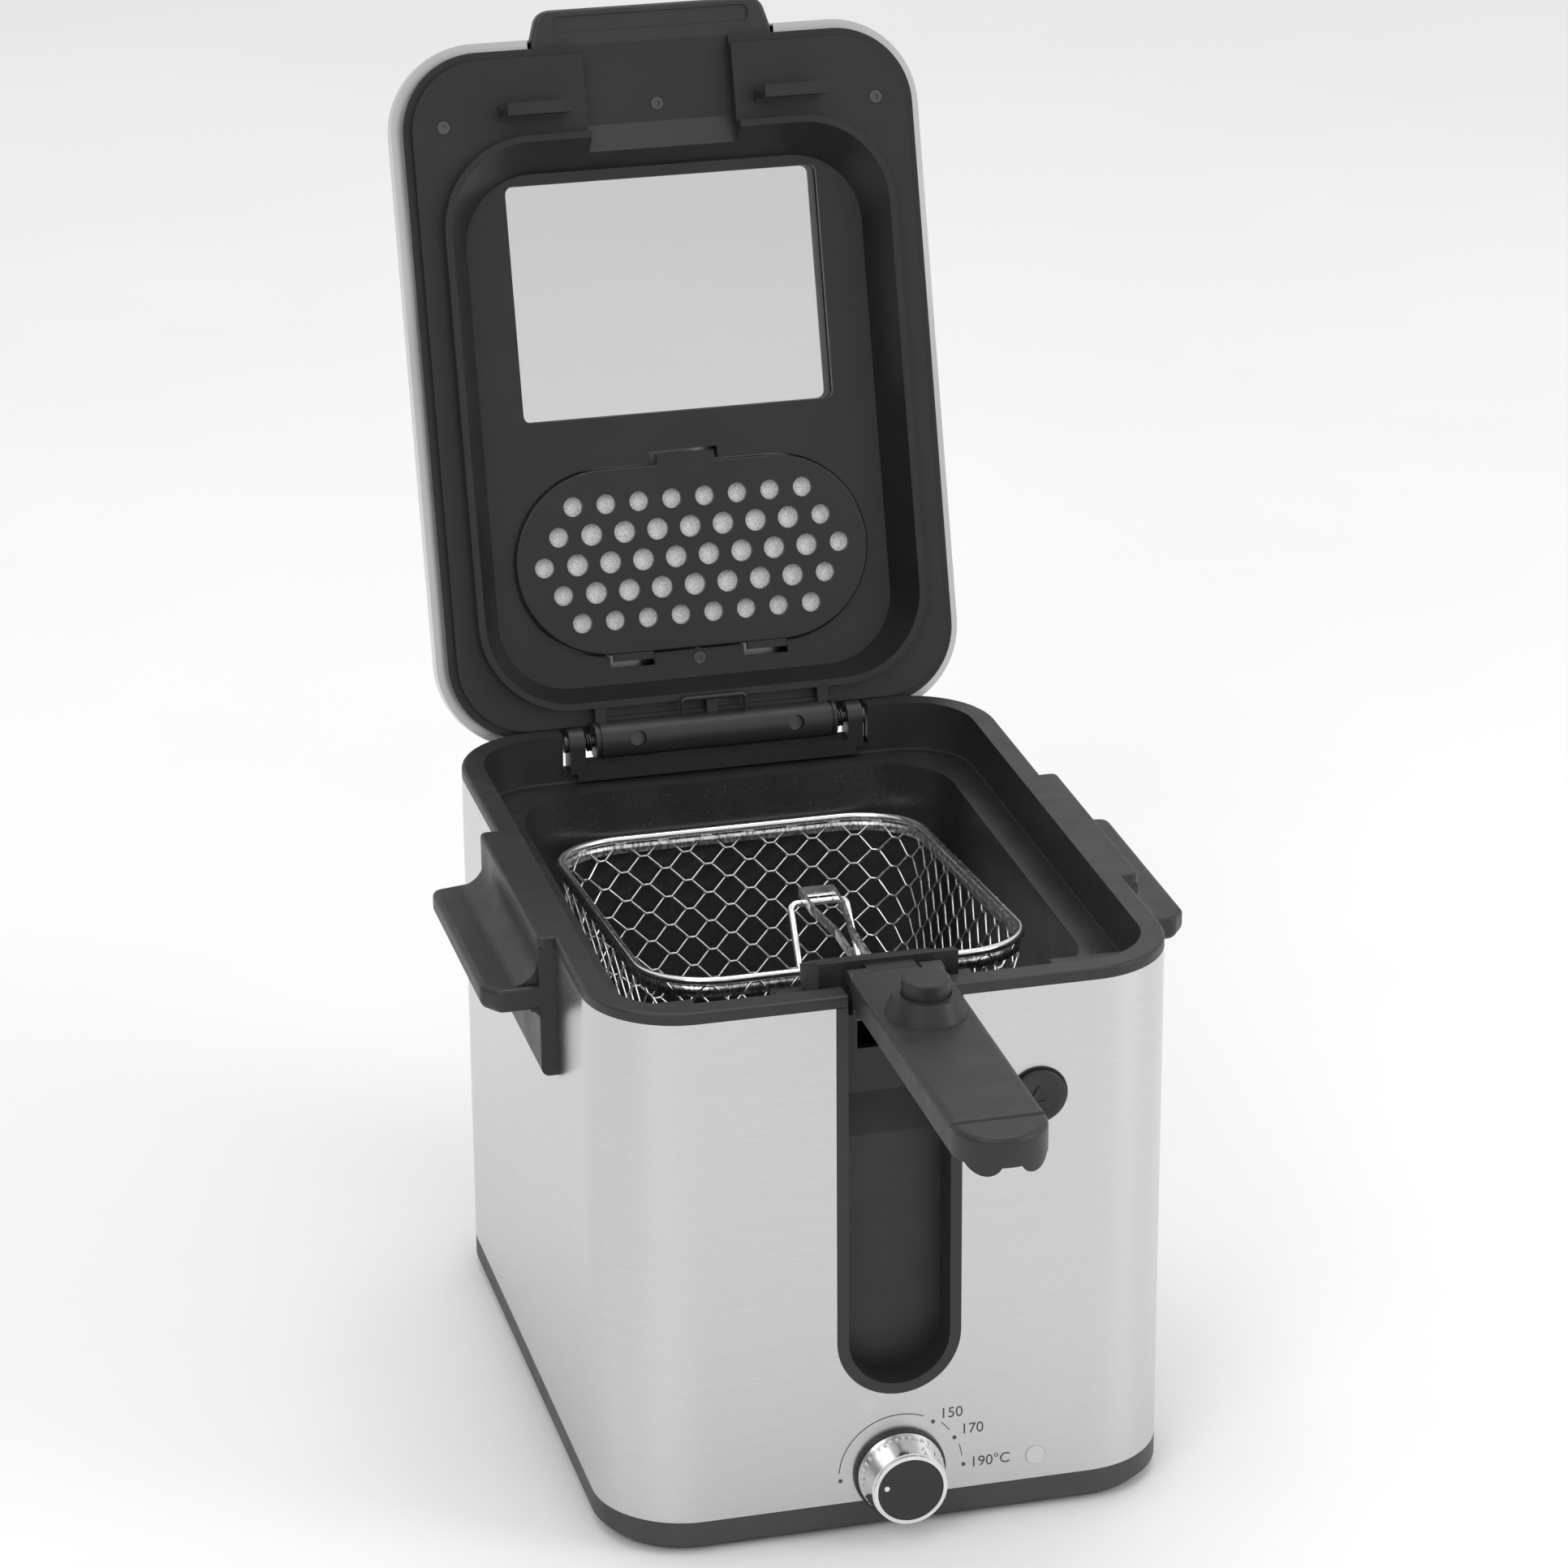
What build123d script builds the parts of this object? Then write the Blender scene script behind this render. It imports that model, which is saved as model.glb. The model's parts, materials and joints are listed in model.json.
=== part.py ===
from build123d import *
import math
import os

os.makedirs("parts", exist_ok=True)

# ---------------------------------------------------------------- driving sizes, mm
# Frame: origin at the middle of the underside, X to the right, Y to the back, Z up.
BODY_W = 200.0          # outer shell across X
BODY_D = 260.0          # outer shell along Y
CORNER_R = 32.0         # plan corners of the shell
FOOT_H = 1.5            # feet below the base
BASE_H = 11.0           # visible band of the base
SHELL_H = 184.5         # visible height of the steel
RIM_BAND = 4.0          # visible band of the rim
SHEET = 0.8             # steel sheet
RIM_WALL = 8.0          # width of the rim's top face
RIM_DROP = 18.0         # inner wall of the rim, top to pot flange
GAP = 0.3               # between moving bodies
SEAT = 0.2              # loose fit of one moulding in another
SHAFT_FIT = 0.05        # radial, on pins and shafts
SCREW_R = 1.5
PIN_R = 2.0

Z_BASE = FOOT_H
Z_SHELL = FOOT_H + BASE_H
Z_SHELL_TOP = Z_SHELL + SHELL_H
Z_RIM = Z_SHELL_TOP + RIM_BAND
Z_SKIRT = Z_RIM - RIM_DROP
HW = BODY_W / 2
HD = BODY_D / 2
FRONT = -HD
BACK = HD

# inner pot
POT_WALL = 1.2
POT_HW = HW - 19.5      # inner half width at the top
POT_Y0 = FRONT + 38.0   # inner front wall
POT_Y1 = BACK - 20.5    # inner rear wall
POT_FLOOR = Z_RIM - 116.0
POT_R = 26.0
POT_TAPER = 6.0
Z_FLANGE = Z_SKIRT - 0.8
LEDGE_Z = Z_RIM - 11.0
LEDGE_Y1 = FRONT + 36.0

# recess for the folded handle
REC_HW = 21.65          # outside of its border
REC_LIP = 4.0
REC_Z = 73.6            # centre of the round bottom end
REC_Y_LOW = FRONT + 12.5
REC_Y_UP = FRONT + 18.5

# handle of the basket
PIV_Y = FRONT + 6.0
PIV_Z = Z_RIM - 1.5
GRIP_ROOT_R = 7.5
GRIP_T = 10.0
GRIP_HW = 16.0
GRIP_L = 134.0
BTN_Y = PIV_Y - 37.0
TONGUE_HW = 8.4
COLLAR_HW = 24.0
COLLAR_Y1 = FRONT + 46.0

# basket
BK_W = 139.0
BK_D = 174.0
BK_Y = 20.5
BK_R = 28.0
BK_FLOOR = POT_FLOOR + 12.0
BK_RIM_Z = 173.0
BK_SLOPE = 0.1026
BK_WALL = 1.2
WIRE_R = 1.4

# lid, drawn shut, then swung open about the hinge
HINGE_Y = BACK - 5.0
HINGE_Z = Z_RIM - 4.5
LID_OPEN = 106.77
LID_W = 199.3
LID_D = 258.8
LID_R = 32.5
LID_Y1 = HINGE_Y + 1.0
LID_YC = LID_Y1 - LID_D / 2
LID_Z0 = Z_RIM + 8.5    # edge of the steel skin
LID_Z1 = Z_RIM + 26.0   # top of the dome
LID_UNDER = Z_RIM + 0.5
LIP_W = 3.5
RING_Z = Z_RIM - 5.0
DISH_Z = Z_RIM + 10.0
DISH_T = 2.5
BARREL_R = 6.6
BARREL_HL = 45.8
EAR_X0 = 50.0
EAR_X1 = 55.7
NOTCH_HW = 58.0
NOTCH_Z = 186.0

# knob and controls
KNOB_Z = 22.6
BEZEL_R = 16.05
KNOB_R0 = 15.2
KNOB_R1 = 12.8
KNOB_DEPTH = 14.7
SHAFT_R = 3.0
LENS_X = 48.2
LENS_Z = 21.4
REL_X = 47.7
REL_Z = 157.5
REL_R = 9.5


# ---------------------------------------------------------------- helpers
def slab(w, d, r, z0, z1, cy=0.0):
    return extrude(Pos(0, cy, z0) * RectangleRounded(w, d, r), z1 - z0)


def slab_y(hw, y0, y1, r, z0, z1):
    return slab(2 * hw, y1 - y0, r, z0, z1, (y0 + y1) / 2)


def block(x0, x1, y0, y1, z0, z1):
    return Pos((x0 + x1) / 2, (y0 + y1) / 2, (z0 + z1) / 2) * Box(x1 - x0, y1 - y0, z1 - z0)


def rod_x(y, z, x0, x1, r):
    return Pos((x0 + x1) / 2, y, z) * Rot(0, 90, 0) * Cylinder(r, x1 - x0)


def rod_y(x, z, y0, y1, r):
    return Pos(x, (y0 + y1) / 2, z) * Rot(90, 0, 0) * Cylinder(r, y1 - y0)


def rod_z(x, y, z0, z1, r):
    return Pos(x, y, (z0 + z1) / 2) * Cylinder(r, z1 - z0)


def cone_y(x, z, y_back, y_front, r_back, r_front):
    return Pos(x, (y_back + y_front) / 2, z) * Rot(90, 0, 0) * Cone(r_back, r_front, y_back - y_front)


def cone_z(x, y, z0, z1, r0, r1):
    return Pos(x, y, (z0 + z1) / 2) * Cone(r0, r1, z1 - z0)


def prism_x(points, x0, x1):
    face = make_face(Polyline(*[(x0, y, z) for y, z in points], close=True))
    return extrude(face, amount=x1 - x0, dir=(1, 0, 0))


def tube(points, r, bend, close=False):
    path = FilletPolyline(*points, radius=bend, close=close)
    section = Plane(origin=path @ 0, z_dir=path % 0) * Circle(r)
    return sweep(section, path=path)


def coil(turns, height, radius, wire):
    path = Helix(height / turns, height, radius)
    section = Plane(origin=path @ 0, z_dir=path % 0) * Circle(wire)
    return sweep(section, path=path, is_frenet=True)


def raised(face, z0, z1):
    """A flat outline drawn at z 0, lifted to z0 and thickened up to z1."""
    return extrude(Pos(0, 0, z0) * face, amount=z1 - z0, dir=(0, 0, 1))


def group(shapes):
    return Compound(children=list(shapes))


def opened(shape):
    """A lid piece drawn shut, swung to the open position."""
    return Pos(0, HINGE_Y, HINGE_Z) * Rot(-LID_OPEN, 0, 0) * Pos(0, -HINGE_Y, -HINGE_Z) * shape


def u_shape(hw, y0, y1, z_low, z_top):
    """Slot with a round lower end, in the front face."""
    return rod_y(0, z_low, y0, y1, hw) + block(-hw, hw, y0, y1, z_low, z_top)


def save(name, shape):
    export_step(shape, f"parts/{name}.step")


# ---------------------------------------------------------------- base, feet, shell
LEG_X = 60.0
LEG_Y = (-70.0, 88.0)
FLOOR_T = 2.5
FOOT_X = HW - 24.0
FOOT_Y = HD - 24.0
SHIELD_Z = 58.0
LEGS = [(sx * LEG_X, y) for sx in (-1, 1) for y in LEG_Y]

base = slab(BODY_W, BODY_D, CORNER_R, Z_BASE, Z_SHELL)
base = chamfer(base.edges().group_by(Axis.Z)[0], 3.0)
base -= slab(BODY_W - 6, BODY_D - 6, CORNER_R - 3, Z_BASE + FLOOR_T, Z_SHELL + 1)
lip_out = SHEET + SEAT
base += (slab(BODY_W - 2 * lip_out, BODY_D - 2 * lip_out, CORNER_R - lip_out, Z_SHELL - 2, Z_SHELL + 4)
         - slab(BODY_W - 6, BODY_D - 6, CORNER_R - 3, Z_SHELL - 3, Z_SHELL + 5))
for i in range(7):
    base -= block(-32, 32, -36 + 12 * i - 1.5, -36 + 12 * i + 1.5, Z_BASE - 1, Z_BASE + FLOOR_T + 1)
feet = []
for sx in (-1, 1):
    for sy in (-1, 1):
        base += rod_z(sx * FOOT_X, sy * FOOT_Y, Z_BASE + FLOOR_T, Z_BASE + FLOOR_T + 1.5, 10)
        base -= rod_z(sx * FOOT_X, sy * FOOT_Y, Z_BASE - 1, Z_BASE + 1.5, 8)
        feet.append(rod_z(sx * FOOT_X, sy * FOOT_Y, 0, Z_BASE + 1.5, 8))
screws = []
for x, y in LEGS:
    base += rod_z(x, y, Z_BASE + FLOOR_T, Z_BASE + FLOOR_T + 2, 6.5)
    base -= rod_z(x, y, Z_BASE - 1, Z_BASE + 2.2, 3.6)
    base -= rod_z(x, y, Z_BASE - 1, Z_SHELL, SCREW_R + 0.25)
    screws.append(rod_z(x, y, Z_BASE + 0.4, Z_BASE + 2.2, 3.2)
                  + rod_z(x, y, Z_BASE + 2.2, Z_BASE + 14, SCREW_R))
save("feet", group(feet))
save("base_screws", group(screws))

HANDLE_SCREW_Y = (-30.0, 25.0)
HANDLE_SCREW_Z = 178.5
INLET_X = -60.0
INLET_Z = 28.0
shell = slab(BODY_W, BODY_D, CORNER_R, Z_SHELL, Z_SHELL_TOP)
shell -= slab(BODY_W - 2 * SHEET, BODY_D - 2 * SHEET, CORNER_R - SHEET, Z_SHELL - 1, Z_SHELL_TOP + 1)
shell -= u_shape(REC_HW, FRONT - 2, FRONT + 3, REC_Z, Z_SHELL_TOP + 2)
shell -= rod_y(0, KNOB_Z, FRONT - 2, FRONT + 3, 5.2)
shell -= rod_y(LENS_X, LENS_Z, FRONT - 2, FRONT + 3, 3.5)
shell -= rod_y(REL_X, REL_Z, FRONT - 2, FRONT + 3, REL_R + 0.9)
shell -= block(-NOTCH_HW, NOTCH_HW, BACK - 3, BACK + 2, NOTCH_Z, Z_SHELL_TOP + 1)
shell -= rod_y(INLET_X, INLET_Z, BACK - 3, BACK + 2, 6.1)
for sx in (-1, 1):
    for y in HANDLE_SCREW_Y:
        shell -= rod_x(y, HANDLE_SCREW_Z, sx * HW - 3, sx * HW + 3, 2.0)
save("outer_shell", shell)

# ---------------------------------------------------------------- rim with front ledge
in_w = BODY_W - 2 * RIM_WALL
in_d = BODY_D - 2 * RIM_WALL
in_r = CORNER_R - RIM_WALL
sk = SHEET + SEAT
rim = slab(BODY_W, BODY_D, CORNER_R, Z_SHELL_TOP, Z_RIM)
rim = fillet(rim.edges().group_by(Axis.Z)[-1], 1.2)
rim += slab(BODY_W - 2 * sk, BODY_D - 2 * sk, CORNER_R - sk, Z_SKIRT, Z_SHELL_TOP)
rim -= (slab(BODY_W - 2 * sk - 4, BODY_D - 2 * sk - 4, CORNER_R - sk - 2, Z_SKIRT - 1, Z_SHELL_TOP - 2)
        - slab(in_w + 5, in_d + 5, in_r + 2.5, Z_SKIRT - 2, Z_SHELL_TOP))
inner = slab(in_w, in_d, in_r, Z_SKIRT - 1, Z_RIM + 1)
rim -= inner
BUMP_X = HW + 6.0
BUMP_Y0 = -57.0
BUMP_Y1 = 40.0
for sx in (-1, 1):
    bump = extrude(Pos(sx * (HW - 2 + BUMP_X) / 2, (BUMP_Y0 + BUMP_Y1) / 2, Z_SHELL_TOP)
                   * RectangleRounded(BUMP_X - HW + 2, BUMP_Y1 - BUMP_Y0, 2.5), RIM_BAND)
    rim += fillet(bump.edges().group_by(Axis.Z)[-1], 1.0)
ledge = slab(in_w, in_d, in_r, Z_SKIRT, LEDGE_Z) & block(-HW, HW, FRONT, LEDGE_Y1, Z_SKIRT, LEDGE_Z)
ledge = fillet(ledge.edges().filter_by(Axis.X).group_by(Axis.Z)[-1].sort_by(Axis.Y)[-1], 1.0)
rim += ledge
HOOK_X0 = 34.0
HOOK_X1 = 62.0
for sx in (-1, 1):
    rim -= block(min(sx * HOOK_X0, sx * HOOK_X1), max(sx * HOOK_X0, sx * HOOK_X1),
                 LEDGE_Y1 - 18, LEDGE_Y1 + 2, Z_SKIRT - 1, LEDGE_Z + 1)
# gap for the handle root, and room for the recess panel below the top band
gap_hw = REC_HW - REC_LIP
rim -= block(-gap_hw, gap_hw, FRONT - 2, FRONT + 20, Z_SHELL_TOP - 0.01, Z_RIM + 1)
TUB_HW = gap_hw + 2.5
FLANGE_HW = REC_HW + 3.35
rim -= block(-FLANGE_HW - SEAT, FLANGE_HW + SEAT, FRONT - 2, FRONT + 8, Z_SKIRT - 1, Z_SHELL_TOP)
rim -= block(-TUB_HW - SEAT, TUB_HW + SEAT, FRONT - 2, FRONT + 21 + SEAT, Z_SKIRT - 1, Z_SHELL_TOP)
# rear: solid bridge for the hinge bracket under an open notch
bridge_z = NOTCH_Z + 0.3
rim -= block(-NOTCH_HW, NOTCH_HW, BACK - RIM_WALL - 4, BACK + 2, NOTCH_Z, Z_RIM + 2)
rim += block(-NOTCH_HW + 0.3, NOTCH_HW - 0.3, BACK - RIM_WALL, BACK - 1, Z_SKIRT, bridge_z)
BR_SCREW_X = 30.0
for sx in (-1, 1):
    rim -= rod_z(sx * BR_SCREW_X, BACK - 4, Z_SKIRT - 1, bridge_z + 1, 1.25)
# lugs and slot for the catch of the lid
LEV_X0 = 42.0
LEV_X1 = 50.0
LEV_Y = FRONT + 12.0
LEV_Z = 176.0
LEV_PIN_R = 1.5
for x0, x1 in ((LEV_X0 - 4, LEV_X0 - GAP), (LEV_X1 + 3.5, LEV_X1 + 7)):
    rim += block(x0, x1, LEV_Y - 3, LEV_Y + 3.5, LEV_Z - 4.5, Z_SKIRT)
    rim -= rod_x(LEV_Y, LEV_Z, x0 - 1, x1 + 1, LEV_PIN_R + 0.02)
rim -= block(LEV_X0 - 0.6, LEV_X1 + 0.6, FRONT + 11.4, FRONT + 19, Z_SKIRT - 1, LEDGE_Z + 1)
save("rim_frame", rim)

# ---------------------------------------------------------------- recess panel in the front
panel = u_shape(REC_HW - 0.15, FRONT - 0.3, FRONT + SHEET, REC_Z, Z_SHELL_TOP)
panel += u_shape(FLANGE_HW, FRONT + SHEET, FRONT + 2.8, REC_Z, Z_SHELL_TOP)
panel += u_shape(TUB_HW, FRONT + SHEET, REC_Y_UP + 2.5, REC_Z, LEDGE_Z)
panel += block(-TUB_HW, TUB_HW, FRONT + SHEET, FRONT + 7.8, LEDGE_Z - 1, Z_SHELL_TOP)
RAMP_Z0 = 144.0
RAMP_Z1 = 157.0
hollow = prism_x([(FRONT - 1, 40), (REC_Y_LOW, 40), (REC_Y_LOW, RAMP_Z0), (REC_Y_UP, RAMP_Z1),
                  (REC_Y_UP, LEDGE_Z + 20), (FRONT - 1, LEDGE_Z + 20)], -30, 30)
hollow = hollow & u_shape(gap_hw, FRONT - 2, FRONT + 60, REC_Z, LEDGE_Z + 20)
panel -= hollow
behind = prism_x([(REC_Y_LOW + 2.5, 40), (REC_Y_UP + 5, 40), (REC_Y_UP + 5, RAMP_Z1),
                  (REC_Y_UP + 2.5, RAMP_Z1), (REC_Y_LOW + 2.5, RAMP_Z0)], -30, 30)
panel -= behind
panel -= block(-9.5, 9.5, REC_Y_UP - 1, REC_Y_UP + 4, 173, 184)
panel = panel & block(-40, 40, FRONT - 5, FRONT + 40, 0, Z_SHELL_TOP)
save("recess_panel", panel)

# ---------------------------------------------------------------- pot, seal, heater, shield
pot_cy = (POT_Y0 + POT_Y1) / 2
pot_w = 2 * POT_HW
pot_d = POT_Y1 - POT_Y0
ROLL = 4.0
z_roll = Z_FLANGE + 0.3


def pot_solid(grow, z_floor, z_top):
    low = Pos(0, pot_cy, z_floor) * RectangleRounded(
        pot_w - 2 * POT_TAPER + 2 * grow, pot_d - 2 * POT_TAPER + 2 * grow, POT_R - 4 + grow)
    high = Pos(0, pot_cy, z_top) * RectangleRounded(pot_w + 2 * grow, pot_d + 2 * grow, POT_R + grow)
    return loft([low, high])


pot = pot_solid(POT_WALL, POT_FLOOR - POT_WALL, z_roll)
FL_HW = HW - 5.5
FL_Y0 = REC_Y_UP + 4.5
FL_Y1 = BACK - 5.5
pot += slab_y(FL_HW, FL_Y0, FL_Y1, 26, Z_FLANGE - POT_WALL, Z_FLANGE)
roll = slab_y(POT_HW + ROLL, POT_Y0 - ROLL, POT_Y1 + ROLL, POT_R + ROLL, Z_FLANGE - 0.4, z_roll)
pot += roll
pot -= pot_solid(0, POT_FLOOR, z_roll)
pot -= slab(pot_w, pot_d, POT_R, z_roll - 0.01, z_roll + 2, pot_cy)
top_in = pot.edges().group_by(Axis.Z)[-1].filter_by(lambda e: abs(e.center().X) < POT_HW + 1.0
                                                   and POT_Y0 - 1 < e.center().Y < POT_Y1 + 1)
save("inner_pot", pot)

seal = (slab_y(FL_HW - 0.5, FL_Y0 + 0.5, FL_Y1 - 0.5, 25.5, Z_FLANGE, Z_SKIRT)
        - slab_y(HW - RIM_WALL, FL_Y0 + 3.5, BACK - RIM_WALL, 23.5, Z_FLANGE - 1, Z_SKIRT + 1))
save("pot_seal", seal)

EL_R = 3.4
EL_Z = POT_FLOOR - POT_WALL - EL_R
element = tube([(-18, -62, SHIELD_Z + 6), (-18, -62, EL_Z), (-50, -62, EL_Z), (-50, 80, EL_Z), (50, 80, EL_Z),
                (50, -62, EL_Z), (18, -62, EL_Z), (18, -62, SHIELD_Z + 6)], EL_R, 7)
save("heating_element", element)

SHIELD_T = 1.2
shield_cy = pot_cy
shield = (slab(146, 184, 20, SHIELD_Z, SHIELD_Z + 16, shield_cy)
          - slab(146 - 2 * SHIELD_T, 184 - 2 * SHIELD_T, 20 - SHIELD_T, SHIELD_Z + SHIELD_T,
                 SHIELD_Z + 17, shield_cy))
for x, y in LEGS:
    shield += rod_z(x, y, Z_BASE + FLOOR_T + 2, SHIELD_Z, 4.2)
    shield -= rod_z(x, y, Z_BASE, Z_BASE + 18, SCREW_R + 0.02)
for x in (-18, 18):
    shield -= rod_z(x, -62, SHIELD_Z - 1, SHIELD_Z + 3, 5)
save("heat_shield", shield)

cutout = rod_z(30, 10, SHIELD_Z + SHIELD_T, SHIELD_Z + SHIELD_T + 6, 8)
cutout += block(26, 34, -4, 24, SHIELD_Z + SHIELD_T, SHIELD_Z + SHIELD_T + 1.5)
save("thermal_cutout", cutout)

BULB_R = 2.4
BULB_Z = POT_FLOOR - POT_WALL - BULB_R
bulb = tube([(0, -108, 30), (0, -101, 30), (0, -101, BULB_Z), (0, -50, BULB_Z)], 0.9, 5)
bulb += rod_y(0, BULB_Z, -52, 20, BULB_R)
save("capillary_bulb", bulb)

# ---------------------------------------------------------------- thermostat, knob, lamp
THERM_Y0 = FRONT + 6.0
THERM_Y1 = FRONT + 22.0
therm = block(-15, 15, THERM_Y0, THERM_Y1, KNOB_Z - 13, KNOB_Z + 13)
therm = fillet(therm.edges().filter_by(Axis.Y), 2.0)
therm += rod_y(0, KNOB_Z, FRONT - 2.0, THERM_Y0 + 1, 5.0)
therm += rod_y(0, KNOB_Z, FRONT + SHEET, FRONT + 2.3, 8.0) & block(-9, 9, FRONT, FRONT + 4, Z_SHELL + 4.2, 60)
therm -= rod_y(0, KNOB_Z, FRONT - 3, THERM_Y1 - 3, SHAFT_R + SHAFT_FIT)
save("thermostat_body", therm)
KNOB_BACK = FRONT - 2.6
KNOB_FRONT = FRONT - KNOB_DEPTH
bezel = rod_y(0, KNOB_Z, FRONT - 2.2, FRONT, BEZEL_R) - rod_y(0, KNOB_Z, FRONT - 3, FRONT + 1, 5.2)
bezel = fillet(bezel.edges().filter_by(GeomType.CIRCLE).group_by(Axis.Y)[0].sort_by(SortBy.RADIUS)[-1], 0.8)
save("knob_bezel", bezel)

shaft = rod_y(0, KNOB_Z, KNOB_FRONT + 3.5, THERM_Y1 - 3.3, SHAFT_R)
save("thermostat_shaft", shaft)

CORE_R = 11.0
ring = cone_y(0, KNOB_Z, KNOB_BACK, KNOB_FRONT + 1.6, KNOB_R0, KNOB_R1 + 0.3)
ring += rod_y(0, KNOB_Z, KNOB_FRONT, KNOB_FRONT + 1.6, KNOB_R1)
ring -= rod_y(0, KNOB_Z, KNOB_FRONT - 1, KNOB_BACK + 1, CORE_R)
ring -= rod_y(0, KNOB_Z, KNOB_FRONT - 1, KNOB_FRONT + 1.4, 11.5)
N_RIB = 40
for i in range(N_RIB):
    a = 360.0 / N_RIB * i
    cut = Pos(0, 0, KNOB_R0 + 0.9) * Box(1.1, 9.0, 3.4)
    cut = Pos(0, KNOB_BACK - 6.2, KNOB_Z) * Rot(0, a, 0) * cut
    ring -= cut
save("knob_ring", ring)

core = rod_y(0, KNOB_Z, KNOB_FRONT + 1.4, KNOB_BACK - 0.2, CORE_R)
core -= rod_y(0, KNOB_Z, KNOB_FRONT + 3.5, KNOB_BACK + 1, SHAFT_R)
save("knob_core", core)

PTR_X = -8.3
PTR_Z = KNOB_Z + 1.5
pointer = rod_y(PTR_X, PTR_Z, KNOB_FRONT + 0.05, KNOB_FRONT + 0.8, 0.9)
face = rod_y(0, KNOB_Z, KNOB_FRONT + 0.3, KNOB_FRONT + 1.4, 11.5)
face -= pointer
save("knob_face", face)
save("knob_pointer", pointer)

lens = rod_y(LENS_X, LENS_Z, FRONT - 0.7, FRONT + 4, 3.4)
lens = fillet(lens.edges().group_by(Axis.Y)[0], 0.6)
lens += rod_y(LENS_X, LENS_Z, FRONT + SHEET, FRONT + 2.2, 4.6)
save("indicator_lens", lens)
lamp = rod_y(LENS_X, LENS_Z, FRONT + 4, FRONT + 20, 2.6)
lamp += block(LENS_X - 4, LENS_X + 4, FRONT + 8, FRONT + 18, LENS_Z - 4, LENS_Z + 4)
save("indicator_lamp", lamp)

term = block(-62, -34, 60, 76, Z_BASE + FLOOR_T, Z_BASE + FLOOR_T + 13)
for i in range(3):
    term -= rod_z(-56 + 8 * i, 68, Z_BASE + FLOOR_T + 8, Z_BASE + FLOOR_T + 14, 2.2)
save("terminal_block", term)

inlet = rod_y(INLET_X, INLET_Z, BACK - 12, BACK + 7, 6.0)
inlet += rod_y(INLET_X, INLET_Z, BACK, BACK + 2, 9.0)
inlet += rod_y(INLET_X, INLET_Z, BACK - SHEET - 3, BACK - SHEET, 8.5)
inlet -= rod_y(INLET_X, INLET_Z, BACK - 13, BACK + 8, 3.4)
save("cord_inlet", inlet)

# room in the base for the thermostat
base -= block(-16, 16, FRONT + 4, FRONT + 24, Z_BASE + FLOOR_T, KNOB_Z)
save("base_tray", base)

# ---------------------------------------------------------------- lid release: button, lever, pin, spring
housing = rod_y(REL_X, REL_Z, FRONT + SHEET, FRONT + 8, REL_R + 2.8)
housing += rod_y(REL_X, REL_Z, FRONT - 0.4, FRONT + SHEET, REL_R + 0.8)
housing -= rod_y(REL_X, REL_Z, FRONT - 1, FRONT + 6.5, REL_R + 0.25)
housing -= rod_y(REL_X, REL_Z, FRONT, FRONT + 9, 2.3)
save("button_housing", housing)
button = rod_y(REL_X, REL_Z, FRONT - 2.2, FRONT + 3.0, REL_R)
button = fillet(button.edges().group_by(Axis.Y)[0], 0.8)
dish = Pos(REL_X, FRONT - 2.2 - 18.6, REL_Z) * Sphere(20)
button -= dish
tri = Pos(REL_X, 0, REL_Z - 0.6) * Rot(90, 0, 0) * RegularPolygon(4.2, 3, rotation=90)
tri_in = Pos(REL_X, 0, REL_Z - 0.6) * Rot(90, 0, 0) * RegularPolygon(3.1, 3, rotation=90)
mark = extrude(Pos(0, FRONT - 1.4, 0) * tri, amount=-2.0) - extrude(Pos(0, FRONT, 0) * tri_in, amount=-6, both=True)
button += mark
button += rod_y(REL_X, REL_Z, FRONT + 2, FRONT + 8.0, 2.0)
save("lid_release_button", button)

lever = rod_x(LEV_Y, LEV_Z, LEV_X0, LEV_X1, 4.0)
lever += block(LEV_X0, LEV_X1, FRONT + 8.8, FRONT + 11.2, REL_Z - 4.5, LEV_Z)
lever += block(LEV_X0, LEV_X1, FRONT + 14.0, FRONT + 16.2, LEV_Z, LEDGE_Z - 0.8)
lever += prism_x([(FRONT + 16.0, LEDGE_Z - 3.6), (FRONT + 18.4, LEDGE_Z - 2.6), (FRONT + 18.4, LEDGE_Z - 1.6),
                  (FRONT + 16.0, LEDGE_Z - 0.8)], LEV_X0, LEV_X1)
lever -= rod_x(LEV_Y, LEV_Z, LEV_X0 - 1, LEV_X1 + 1, LEV_PIN_R + SHAFT_FIT)
save("release_lever", lever)
save("lever_pin", rod_x(LEV_Y, LEV_Z, LEV_X0 - 4.6, LEV_X1 + 7.6, LEV_PIN_R))
spring = Pos(LEV_X1 + 0.6, LEV_Y, LEV_Z) * Rot(0, 90, 0) * coil(3, 2.3, 2.3, 0.35)
save("release_spring", spring)

# ---------------------------------------------------------------- side handles
SH_X = HW + 24.5
SH_Z1 = Z_RIM - 18.0
SH_Z0 = Z_RIM - 27.0
LEG_Z = Z_RIM - 51.0


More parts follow.
